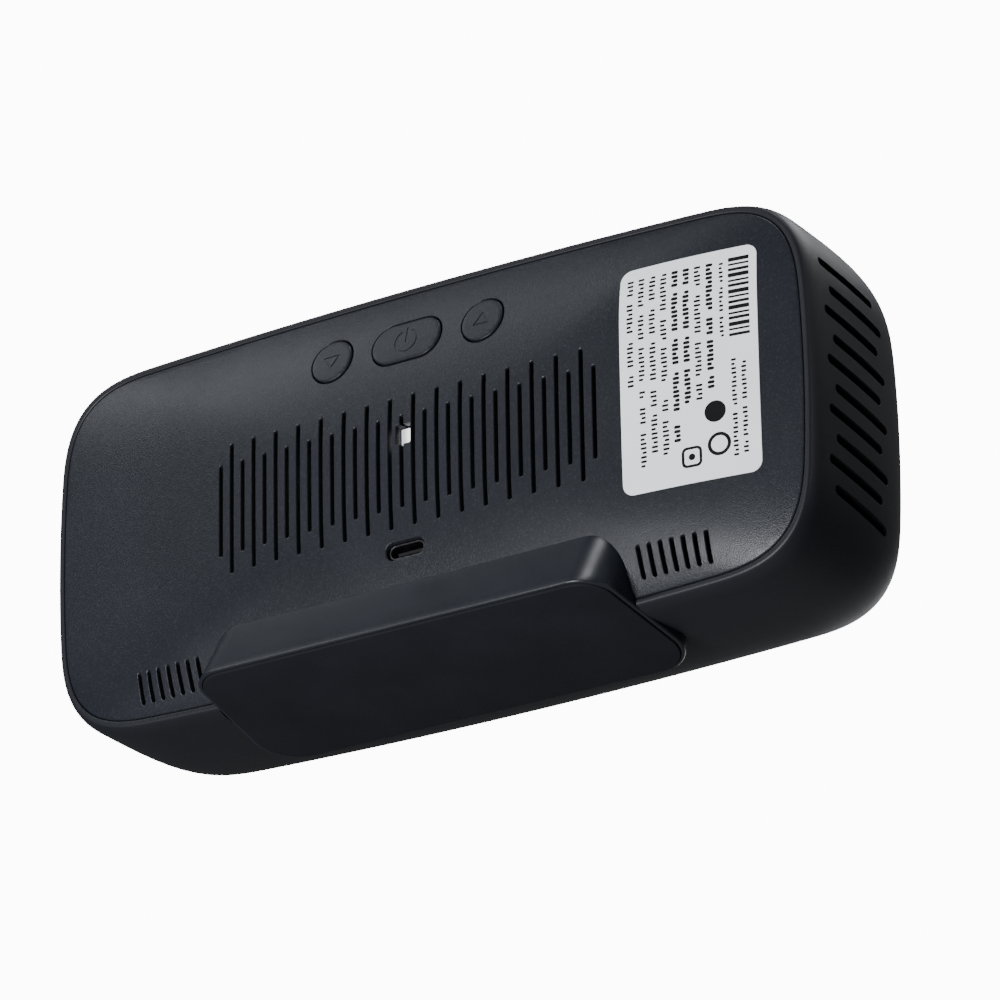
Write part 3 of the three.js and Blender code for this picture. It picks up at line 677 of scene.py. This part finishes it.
def sideSlotTool(number, side):
    # a punch that follows the wall, with a lip where it breaks through
    lip, height, length = shell["slotLip"], shell["slotHeight"], shell["slotLength"]
    start = shell["slotStart"] + number % 2 * shell["slotStagger"]
    middleDepth = start + length / 2
    z = shell["slotZ"] - number * shell["slotPitch"] - shell["slotFall"] * middleDepth
    turn = math.degrees(math.atan(shell["slotFall"]))

    def wallX(depth, level):
        half = case["halfHeight"] + swell(depth)
        a = case["halfWidth"] + swell(depth)
        r = case["corner"] + swell(depth)
        past = max(abs(level) - (half - r), 0) / r
        flat = a - r + r * (1 - past ** case["cornerPower"]) ** (1 / case["cornerPower"])
        return flat * (1 + case["bowWidth"] / a * (1 - (level / half) ** 2))

    steps = [(0, -shell["slotCut"]), (0, -lip), (lip * 0.13, -lip * 0.5)]
    steps += [(lip * 0.5, -lip * 0.13), (lip, shell["slotOver"])]
    rings = []
    for grow, lift in steps:
        flat = stadium(-middleDepth, z, length + 2 * grow, height + 2 * grow, turn, 8)
        rings.append([(side * (wallX(-y, up) + lift), y, up) for y, up in flat])
    return ringBody(rings)


def footPocketTool(lower=0):
    reach, top = shell["pocketReach"], shell["pocketTop"] - lower
    return ringBody([soleRing(reach, shell["pocketFloor"]), soleRing(reach, top)])


def screwPosts():
    # the posts that carry the main board, on the inside of the front wall
    posts = []
    for number in range(1, post["screws"] + 1):
        low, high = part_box(f"screw_main_board_{number}")
        centre = caseToFrame.inverted() @ ((low + high) / 2)
        shape = circleShape(centre.x, centre.z, post["radius"], 24)
        posts.append(ringBody([ring(shape, post["front"]), ring(shape, post["rear"])]))
    return posts


frontShell = asObject(ringBody([shellRing(*step) for step in shellProfile()], closed=True))
sideTools = [sideSlotTool(i, side) for i in range(shell["slots"]) for side in (-1, 1)]
carve(frontShell, gathered(sideTools))
carve(frontShell, gathered([footPocketTool()]))
carve(frontShell, gathered(screwPosts()), "UNION")
finished(frontShell, "shell_moulding", shellPlastic, replaced=["front_shell"])
print("front shell", len(frontShell.data.polygons), "faces")


# rear cover, with the buttons' sizes because its openings take them
buttons = {
    "z": 28.76,
    "spacing": 19.47,
    "radius": 5.15,
    "width": 17.6,
    "height": 9.9,
    "clearance": 0.3,
    "proud": 0.35,
    "edge": 0.4,
    "flangeReach": 1.1,
    "flangeTop": -0.9,
    "flangeThickness": 1.0,
    "capFloor": -0.5,
    "gridHalfX": 10,
    "gridHalfZ": 7,
    "gridPitch": 1,
}
buttonX = {"left": buttons["spacing"], "power": 0, "right": -buttons["spacing"]}
cover = {
    "wall": 1.9,
    "skirt": 4.7,
    "skirtWall": 1.6,
    "edge": 0.3,
    "lip": 0.18,
    "slots": 33,
    "pitch": 3.0,
    "slotWidth": 0.95,
    "shortSlot": 21.3,
    "longSlot": 30.2,
    "slotCut": -4,
    "deepCut": -6,
    "hollowFloor": -7,
    "hollowRound": 0.6,
    "vents": 7,
    "ventPitch": 2.68,
    "ventWidth": 0.95,
    "ventLength": 6.8,
    "ventX": 64.2,
    "ventZ": -34.6,
    "socketZ": -19.9,
    "socketWidth": 9.7,
    "socketHeight": 3.75,
    "socketLip": 0.35,
    "gridHalfX": 97.5,
    "gridHalfZ": 43,
    "gridX": 1.5,
    "gridZ": 2.0,
}
window = {"x": -0.45, "z": 6.2, "width": 3.7, "height": 4.7, "radius": 0.4, "lip": 0.15}
label = {
    "x": -69.98,
    "z": 5.1,
    "width": 31.4,
    "height": 51.6,
    "radius": 2.5,
    "recess": 0.2,
    "proud": 0.04,
    "joint": 0.04,
    "lip": 0.05,
    "edge": 0.03,
    "lift": 0.01,
    "ink": 0.012,
    "inkRoot": 0.02,
    "gridHalf": 18,
}


def buttonShape(name, grow=0, steps=24):
    if name == "power":
        wide, high = buttons["width"] + 2 * grow, buttons["height"] + 2 * grow
        return stadium(0, buttons["z"], wide, high, 0, steps)
    return circleShape(buttonX[name], buttons["z"], buttons["radius"] + grow, 2 * steps)


def labelShape(grow=0):
    wide, high = label["width"] + 2 * grow, label["height"] + 2 * grow
    return roundRectangle(label["x"], label["z"], wide, high, label["radius"] + grow, 8)


def uprightSlot(x, z, length, width):
    # the lip is longer at the two ends of a slot than along its sides
    return lambda grow: stadium(x, z, length + 4 * grow, width + 2 * grow, 90, 6)


def coverBlank():
    edge, skirt = cover["edge"], cover["skirt"]
    rings = [ring(outline(coverReach - edge), -skirt), ring(outline(coverReach), edge - skirt)]
    rings.append(ring(outline(coverReach), -edge))
    for inwards, down in roundSteps(edge, (22, 45, 67, 90)):
        rings.append(ring(outline(coverReach - inwards), -down))
    return ringBody(rings)


def coverHollow():
    reach, wall, curve = coverReach - cover["skirtWall"], cover["wall"], cover["hollowRound"]
    steps = [(reach, cover["hollowFloor"]), (reach, -wall - curve), (reach - curve, -wall)]
    return ringBody([ring(outline(r), y) for r, y in steps])


def coverTools():
    lip, deep = cover["lip"], cover["deepCut"]
    tools = []
    for i in range(cover["slots"]):
        x = (i - (cover["slots"] - 1) / 2) * cover["pitch"]
        length = cover["longSlot"] if i % 2 else cover["shortSlot"]
        slot = uprightSlot(x, 0, length, cover["slotWidth"])
        tools.append(lippedTool(slot, lip, cover["slotCut"]))
    for side in (-1, 1):
        for i in range(cover["vents"]):
            x = side * cover["ventX"] + (i - (cover["vents"] - 1) / 2) * cover["ventPitch"]
            slot = uprightSlot(x, cover["ventZ"], cover["ventLength"], cover["ventWidth"])
            tools.append(lippedTool(slot, lip, deep))
    for name in buttonX:
        hole = lambda grow, name=name: buttonShape(name, buttons["clearance"] + grow)
        tools.append(lippedTool(hole, lip, deep))
    wide, high = cover["socketWidth"], cover["socketHeight"]
    mouth = lambda grow: stadium(0, cover["socketZ"], wide + 2 * grow, high + 2 * grow, 0, 16)
    tools.append(lippedTool(mouth, cover["socketLip"], deep))
    return tools


def windowShape(grow):
    wide, high = window["width"] + 2 * grow, window["height"] + 2 * grow
    return roundRectangle(window["x"], window["z"], wide, high, window["radius"] + grow, 4)


def labelPocket(grow):
    return labelShape(label["joint"] + grow)


rearCover = asObject(coverBlank())
carve(rearCover, gathered([coverHollow()]))
carve(rearCover, gathered(coverTools()))
carve(rearCover, gathered([lippedTool(windowShape, window["lip"], cover["slotCut"])]))
carve(rearCover, gathered([lippedTool(labelPocket, label["lip"], -label["recess"])]))
gridUp = evenly(-cover["gridHalfZ"], cover["gridHalfZ"], cover["gridZ"])
gridAcross = evenly(-cover["gridHalfX"], cover["gridHalfX"], cover["gridX"])
laidOnCrown(rearCover, gridAcross, gridUp)
carve(rearCover, gathered([footPocketTool()]))
finished(rearCover, "cover_moulding", coverPlastic, replaced=["rear_cover"])
print("rear cover", len(rearCover.data.polygons), "faces")


# signs engraved in the buttons: a ring with a bar, and two triangles
sign = {
    "width": 0.36,
    "depth": 0.14,
    "radius": 2.75,
    "start": 118,
    "turn": 304,
    "barZ": 1.45,
    "barLength": 3.9,
    "half": 1.9,
    "base": -1.05,
    "peak": 1.75,
}


def markTools(name):
    wide, depth = sign["width"], -sign["depth"] + buttons["proud"]
    strokes = []
    if name == "power":
        bend = arc(0, 0, sign["radius"], sign["start"], sign["turn"], 40)
        share = wide / (2 * sign["radius"])
        outer = [(x * (1 + share), z * (1 + share)) for x, z in bend]
        inner = [(x * (1 - share), z * (1 - share)) for x, z in reversed(bend)]
        strokes = [outer + inner, stadium(0, sign["barZ"], sign["barLength"], wide, 90)]
    else:
        way = 1 if name == "right" else -1
        half, base, peak = sign["half"], sign["base"] * way, sign["peak"] * way
        corners = [Vector((-half, base)), Vector((half, base)), Vector((0, peak))]
        for i, end in enumerate(corners):
            middle, reach = (end + corners[i - 1]) / 2, end - corners[i - 1]
            turn = math.degrees(math.atan2(reach.y, reach.x))
            strokes.append(stadium(middle.x, middle.y, reach.length + wide, wide, turn, 6))
    centre = buttonX[name]
    moved = [[(x + centre, z + buttons["z"]) for x, z in stroke] for stroke in strokes]
    return [ringBody([ring(stroke, depth), ring(stroke, 2)]) for stroke in moved]


def buttonBody(name):
    edge, top = buttons["edge"], buttons["proud"]
    flange = buttons["flangeTop"] - buttons["flangeThickness"]
    rings = [ring(buttonShape(name, buttons["flangeReach"]), flange)]
    rings.append(ring(buttonShape(name, buttons["flangeReach"]), buttons["flangeTop"]))
    rings.append(ring(buttonShape(name), buttons["flangeTop"]))
    rings.append(ring(buttonShape(name), top - edge))
    for inwards, down in roundSteps(edge, (22, 45, 67, 90)):
        rings.append(ring(buttonShape(name, -inwards), top - down))
    return ringBody(rings)


reachX, reachZ, pitch = buttons["gridHalfX"], buttons["gridHalfZ"], buttons["gridPitch"]
for name, centre in buttonX.items():
    cap = asObject(buttonBody(name))
    for tool in markTools(name):
        carve(cap, gathered([tool]))
    across = evenly(centre - reachX, centre + reachX, pitch)
    up = evenly(buttons["z"] - reachZ, buttons["z"] + reachZ, pitch)
    laidOnCrown(cap, across, up, buttons["capFloor"])
    node = f"button_{name}"
    finished(cap, f"cap_{name}", buttonPlastic, node, [node])
print("buttons")


# rating label, printed with plain bars in place of words
printing = {
    "plain": 0.52,
    "bold": 0.72,
    "short": 0.72,
    "pitch": 1,
    "lead": 0.5,
    "blockX": 4.0,
    "blockStart": 2.4,
    "blockWidth": 4.6,
    "bars": 15,
    "barHeights": (0.9, 0.45, 0.65),
    "barGaps": (0.5, 0.65),
    "disc": (9.9, 36.6, 2.4),
    "hoop": (9.2, 44.0, 2.6, 1.85),
    "box": (15.4, 45.8, 4.6, 3.4),
    "boxDot": 0.75,
}
# each row: place across the label, height of its strokes, bold or not, and (start, strokes) of
# each group
printedRows = [
    (3.3, 1.15, False, [(26.2, 9), (36.5, 7), (44.2, 3)]),
    (5.5, 1.15, False, [(25.3, 11), (37.6, 10)]),
    (7.9, 0.95, False, [(2.9, 5), (8.6, 6), (15.4, 5)]),
    (10.6, 1.55, True, [(2.6, 11), (15.2, 4), (20.3, 7), (28.4, 3)]),
    (13.3, 1.5, False, [(2.6, 5), (9.4, 9), (20.2, 8), (29.6, 4)]),
    (15.9, 1.5, True, [(2.6, 4), (7.8, 9), (18.4, 6), (25.8, 8)]),
    (18.5, 1.5, True, [(2.6, 4), (7.8, 9), (18.4, 6), (26.0, 9), (38.0, 4)]),
    (21.1, 1.5, False, [(2.6, 9), (13.4, 5), (19.8, 8), (31.6, 3), (36.4, 8)]),
    (23.7, 1.5, False, [(2.6, 6), (10.4, 6), (18.0, 9), (29.0, 4), (34.4, 9)]),
    (26.3, 1.4, False, [(2.6, 7), (11.2, 6), (18.7, 8), (28.6, 2), (32.4, 4), (38.2, 8)]),
    (28.9, 1.5, False, [(2.6, 4), (8.2, 7), (17.0, 6), (24.6, 3)]),
]


def inkPlate(shape):
    low, high = label["proud"] - label["inkRoot"], label["proud"] + label["ink"]
    return ringBody([ring(shape, low), ring(shape, high)])


def inkFrame(outer, inner):
    low, high = label["proud"] - label["inkRoot"], label["proud"] + label["ink"]
    rings = [ring(outer, low), ring(outer, high), ring(inner, high), ring(inner, low)]
    return ringBody(rings, closed=True)


def strokePlates(right, head):
    # the rows run down the label, the first one nearest the end of the case
    plates = []
    for place, height, bold, groups in printedRows:
        x = right + place
        wide = printing["bold"] if bold else printing["plain"]
        for start, strokes in groups:
            for i in range(strokes):
                # every third stroke is short, so that a row keeps an uneven edge
                tall = height * (printing["short"] if (i + strokes) % 3 == 0 else 1)
                shift = (height - tall) / 2 * (1 if i % 2 else -1)
                z = head - start - printing["lead"] - i * printing["pitch"]
                plates.append(inkPlate(roundRectangle(x + shift, z, tall, wide, wide * 0.3, 1)))
    return plates


def barPlates(right, head):
    # a block of plain bars takes the place of the largest print
    plates = []
    x, z, wide = right + printing["blockX"], head - printing["blockStart"], printing["blockWidth"]
    for i in range(printing["bars"]):
        bar = printing["barHeights"][i % 3]
        plates.append(inkPlate(roundRectangle(x, z - bar / 2, wide, bar, 0.1, 1)))
        z -= bar + printing["barGaps"][i % 2]
    return plates


def signPlates(right, head):
    # plain signs: a disc, a ring, and a rounded frame with a dot
    across, down, radius = printing["disc"]
    plates = [inkPlate(circleShape(right + across, head - down, radius, 32))]
    across, down, radius, bore = printing["hoop"]
    x, z = right + across, head - down
    plates.append(inkFrame(circleShape(x, z, radius, 32), circleShape(x, z, bore, 32)))
    across, down, side, hole = printing["box"]
    x, z = right + across, head - down
    outer = roundRectangle(x, z, side, side, 1.2, 5)
    plates.append(inkFrame(outer, roundRectangle(x, z, hole, hole, 0.7, 5)))
    plates.append(inkPlate(circleShape(x, z, printing["boxDot"], 16)))
    return plates


levels = [
    ring(labelShape(), label["lift"] - label["recess"]),
    ring(labelShape(), label["proud"] - label["edge"]),
    ring(labelShape(-label["edge"]), label["proud"]),
]
across = evenly(label["x"] - label["gridHalf"], label["x"] + label["gridHalf"], cover["gridX"])
film = asObject(ringBody(levels))
laidOnCrown(film, across, gridUp)
finished(film, "label_sheet", labelFilm, replaced=["rating_label"])
corner = (label["x"] - label["width"] / 2, label["z"] + label["height"] / 2)
ink = gathered(strokePlates(*corner) + barPlates(*corner) + signPlates(*corner))
laidOnCrown(ink, across, gridUp)
finished(ink, "label_print", labelInk)
print("label")


# foot and pad
foot = {
    "border": 1.1,
    "proud": 0.4,
    "edge": 0.5,
    "plateTop": 2.7,
    "slope": 0.38,
    "height": 20,
    "wall": 2.2,
    "recess": 1.5,
    "padGap": 0.15,
    "padThickness": 1.2,
    "padEdge": 0.25,
    "caseGap": 0.1,
    "mouthEdge": 0.12,
    "steps": 6,
}
solidDepths = (1.5, 3.5, case["flareDepth"], 12, 18, 24, 28, 31.5, 34.5, 37, 39, 40.8, 42, 44, 45.4)
crownShares = (0.97, 0.92, 0.85, 0.75, 0.62, 0.48, 0.34, 0.2)


def footWedge():
    border, proud, slope = foot["border"], foot["proud"], foot["slope"]
    gap, mouth = foot["padGap"], foot["mouthEdge"]
    rings = [soleRing(gap, foot["recess"]), soleRing(gap, proud + mouth)]
    rings.append(soleRing(gap + mouth, proud))
    for rise, inwards in roundSteps(foot["edge"], (0, 30, 60, 90)):
        up = proud + rise
        rings.append(soleRing(border - inwards, up, slope * (up - proud)))
    low, count = foot["plateTop"], foot["steps"]
    heights = [low + (foot["height"] - low) * i / count for i in range(count + 1)]
    rings += [soleRing(border, up, slope * up) for up in heights]
    return ringBody(rings)


def footHollow():
    reach = foot["border"] - foot["wall"]
    levels = (foot["plateTop"], foot["height"] + 1)
    return ringBody([soleRing(reach, up, foot["slope"] * up) for up in levels])


def caseSolid(grow):
    # the case as one closed body, a little larger all round
    rings = [ring(outline(grow), 0)] + [shellRing(d, swell(d) + grow) for d in solidDepths]
    rings.insert(0, ring(outline(grow), grow))
    for share in crownShares:
        height = crown["height"] * (1 - share ** crown["power"]) + grow
        edge = outline(grow + coverReach)
        rings.insert(0, [(x * share, height, z * share) for x, z in edge])
    return ringBody(rings)


wedge = asObject(footWedge())
carve(wedge, gathered([footHollow()]))
blocked = gathered([caseSolid(foot["caseGap"])])
carve(blocked, gathered([footPocketTool(foot["caseGap"])]))
carve(wedge, blocked)
finished(wedge, "foot_moulding", footPlastic, replaced=["foot"])
edge = foot["padEdge"]
steps = [(-edge, 0), (-edge * 0.5, edge * 0.13), (-edge * 0.13, edge * 0.5)]
steps += [(0, edge), (0, foot["padThickness"])]
pad = asObject(ringBody([soleRing(*step) for step in steps]))
finished(pad, "pad_sheet", padRubber, replaced=["foot_pad"])
print("foot and pad")


# front lens
lens = {"reach": -12.5, "thickness": 1.8, "recess": 0.1, "edge": 0.25}


def lensBody():
    front, reach, edge = case["depth"] - lens["recess"], lens["reach"], lens["edge"]
    steps = [(front - lens["thickness"], reach), (front - edge, reach)]
    steps += [(front - down, reach - inwards) for inwards, down in roundSteps(edge, (30, 60, 90))]
    return ringBody([ring(outline(out), -depth, case["frontDrop"]) for depth, out in steps])


lensPane = asObject(lensBody())
finished(lensPane, "lens_window", lensGloss, replaced=["front_lens"])
print("lens")


# pieces of the frame that keep their shape, by the start of their names
carried = {
    "screw_": plateSteel,
    "switch_plunger_": blackPlastic,
    "switch_": plateSteel,
    "key_board": circuitMask,
    "sensor_board": circuitMask,
    "main_board": circuitMask,
    "charge_board": circuitMask,
    "display_board": circuitMask,
    "socket_shell": socketSteel,
    "socket_tongue": blackPlastic,
    "lens_gasket": blackPlastic,
    "display_module": blackPlastic,
    "battery_cradle": blackPlastic,
    "battery_cell": cellFoil,
    "mcu_chip": blackPlastic,
    "buzzer": blackPlastic,
    "particle_sensor_case": sensorPlastic,
    "fan_rotor": blackPlastic,
    "carbon_dioxide_sensor": sensorPlastic,
    "sensor_filter": filterWhitePaintedGlow,
    "formaldehyde_sensor": canBrass,
    "tvoc_sensor": plateSteel,
    "humidity_sensor": whitePlastic,
}
for name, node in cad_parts.items():
    found = next((look for start, look in carried.items() if name.startswith(start)), None)
    if found:
        node.data.materials.clear()
        node.data.materials.append(found)
print("carried nodes dressed")


# camera, light and floor
view = {
    "place": (-0.7001, 0.9374, -0.6857),
    "right": (-0.8367, -0.5388, 0.0982),
    "up": (-0.2183, 0.4925, 0.8425),
    "lens": 230.1,
    "sensor": 36,
    "near": 0.05,
    "far": 30,
}
studio = {
    "target": (0, -0.005, 0.045),
    "floorDrop": 1.05,
    "floorSize": 8,
    "floorDark": (0.80, 0.80, 0.79),
    "floorLight": (0.84, 0.84, 0.83),
    "floorRough": 0.9,
    "sky": (0.93, 0.96, 1.0),
    "skyLight": 0.11,
    "skySeen": 12,
}
cool, neutral = (0.95, 0.97, 1.0), (0.97, 0.98, 1.0)
# each light: where it stands, its size, its power and its colour
lights = {
    "keyLight": ((0.12, 1.06, -0.49), 0.4, 21, neutral),
    "fillLight": ((0.80, 0.70, 0.78), 0.7, 4.2, cool),
    "topLight": ((-0.16, 0.46, 1.2), 0.35, 5, neutral),
    "sideLight": ((-1.25, 0.1, 0.35), 0.7, 2.2, cool),
    "displayLight": ((0.15, -1.3, 0.3), 0.7, 2.5, neutral),
    "frontLight": ((-0.35, -0.55, 1.25), 0.7, 7, cool),
}


def makeCamera():
    data = bpy.data.cameras.new("camera")
    data.lens, data.sensor_width = view["lens"], view["sensor"]
    data.clip_start, data.clip_end = view["near"], view["far"]
    camera = bpy.data.objects.new("camera", data)
    right, up = Vector(view["right"]).normalized(), Vector(view["up"]).normalized()
    turn = Matrix((right, up, right.cross(up))).transposed()
    camera.matrix_world = Matrix.Translation(view["place"]) @ turn.to_4x4()
    scene.collection.objects.link(camera)
    scene.camera = camera


def softLight(name, place, size, power, colour):
    data = bpy.data.lights.new(name, "AREA")
    data.shape, data.size, data.energy, data.color = "DISK", size, power, colour
    lamp = bpy.data.objects.new(name, data)
    aim = Vector(studio["target"]) - Vector(place)
    turn = aim.to_track_quat("-Z", "Y").to_matrix().to_4x4()
    lamp.matrix_world = Matrix.Translation(place) @ turn
    scene.collection.objects.link(lamp)


def makeWorld():
    world = bpy.data.worlds.new("studio")
    scene.world = world
    world.use_nodes = True
    tree = world.node_tree
    lit = tree.nodes["Background"]
    lit.inputs["Color"].default_value = (*studio["sky"], 1)
    lit.inputs["Strength"].default_value = studio["skyLight"]
    seen = addNode(tree, "ShaderNodeBackground", Color=(1, 1, 1, 1), Strength=studio["skySeen"])
    path = addNode(tree, "ShaderNodeLightPath")
    mixed = addNode(tree, "ShaderNodeMixShader")
    tree.links.new(path.outputs["Is Camera Ray"], mixed.inputs["Fac"])
    tree.links.new(lit.outputs[0], mixed.inputs[1])
    tree.links.new(seen.outputs[0], mixed.inputs[2])
    tree.links.new(mixed.outputs[0], tree.nodes["World Output"].inputs["Surface"])


def makeFloor():
    bm = bmesh.new()
    bmesh.ops.create_grid(bm, x_segments=8, y_segments=8, size=studio["floorSize"] / 2)
    bmesh.ops.translate(bm, verts=bm.verts, vec=(0, 0, -studio["floorDrop"]))
    floor = asObject(bm, "floor")
    material, tree, shader = newMaterial("floorPaper")
    drift = noise(tree, objectPoint(tree), 1.5)
    colour = blendColours(tree, drift, studio["floorDark"], studio["floorLight"])
    tree.links.new(colour, shader.inputs["Base Color"])
    shader.inputs["Roughness"].default_value = studio["floorRough"]
    floor.data.materials.append(material)


makeCamera()
makeWorld()
makeFloor()
for name, settings in lights.items():
    softLight(name, *settings)
print("studio ready")
